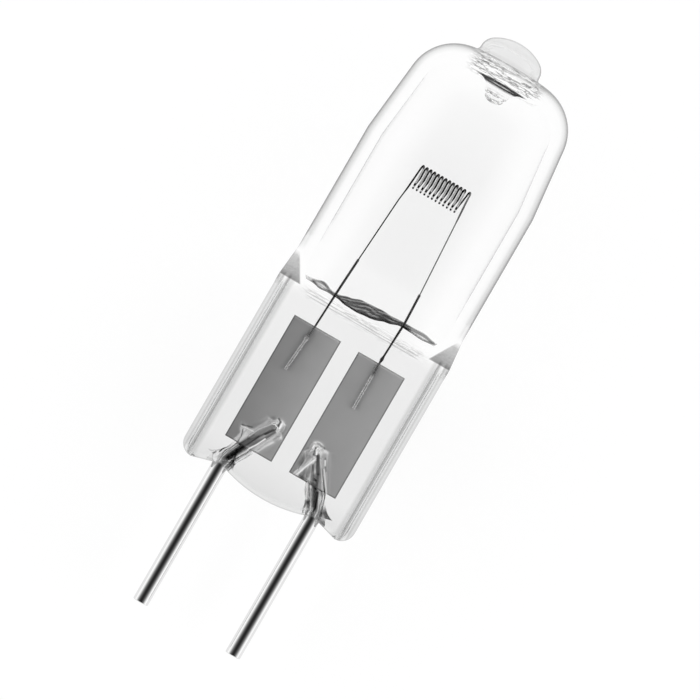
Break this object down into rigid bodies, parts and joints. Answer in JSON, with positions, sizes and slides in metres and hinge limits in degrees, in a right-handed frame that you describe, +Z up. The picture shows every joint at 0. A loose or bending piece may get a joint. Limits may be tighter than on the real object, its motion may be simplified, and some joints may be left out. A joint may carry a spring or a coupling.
{
  "type": "halogen capsule bulb",
  "caption": "Clear quartz halogen capsule bulb with a fine flat-coil filament, molybdenum foils in a flat press seal, a rounded tip and two straight bare pins.",
  "frame": {"origin": "centre of the bounding box in X and Y, on the surface that the bulb lies on", "axes": "+Y along the lamp from the pins to the tip, +X across the two pins, +Z up and square to the flat seal"},
  "size_m": [0.0116, 0.0402, 0.0113],
  "materials": {
    "quartz": "clear, gloss",
    "tungsten": "drawn wire, dark grey",
    "foil": "satin rolled foil",
    "pin": "bright drawn wire"
  },
  "bodies": {
    "root": {"quartz_envelope": "quartz", "filament": "tungsten", "leg_sleeve_left": "tungsten", "leg_sleeve_right": "tungsten", "foil_left": "foil", "foil_right": "foil", "pin_left": "pin", "pin_right": "pin"}
  },
  "joints": []
}
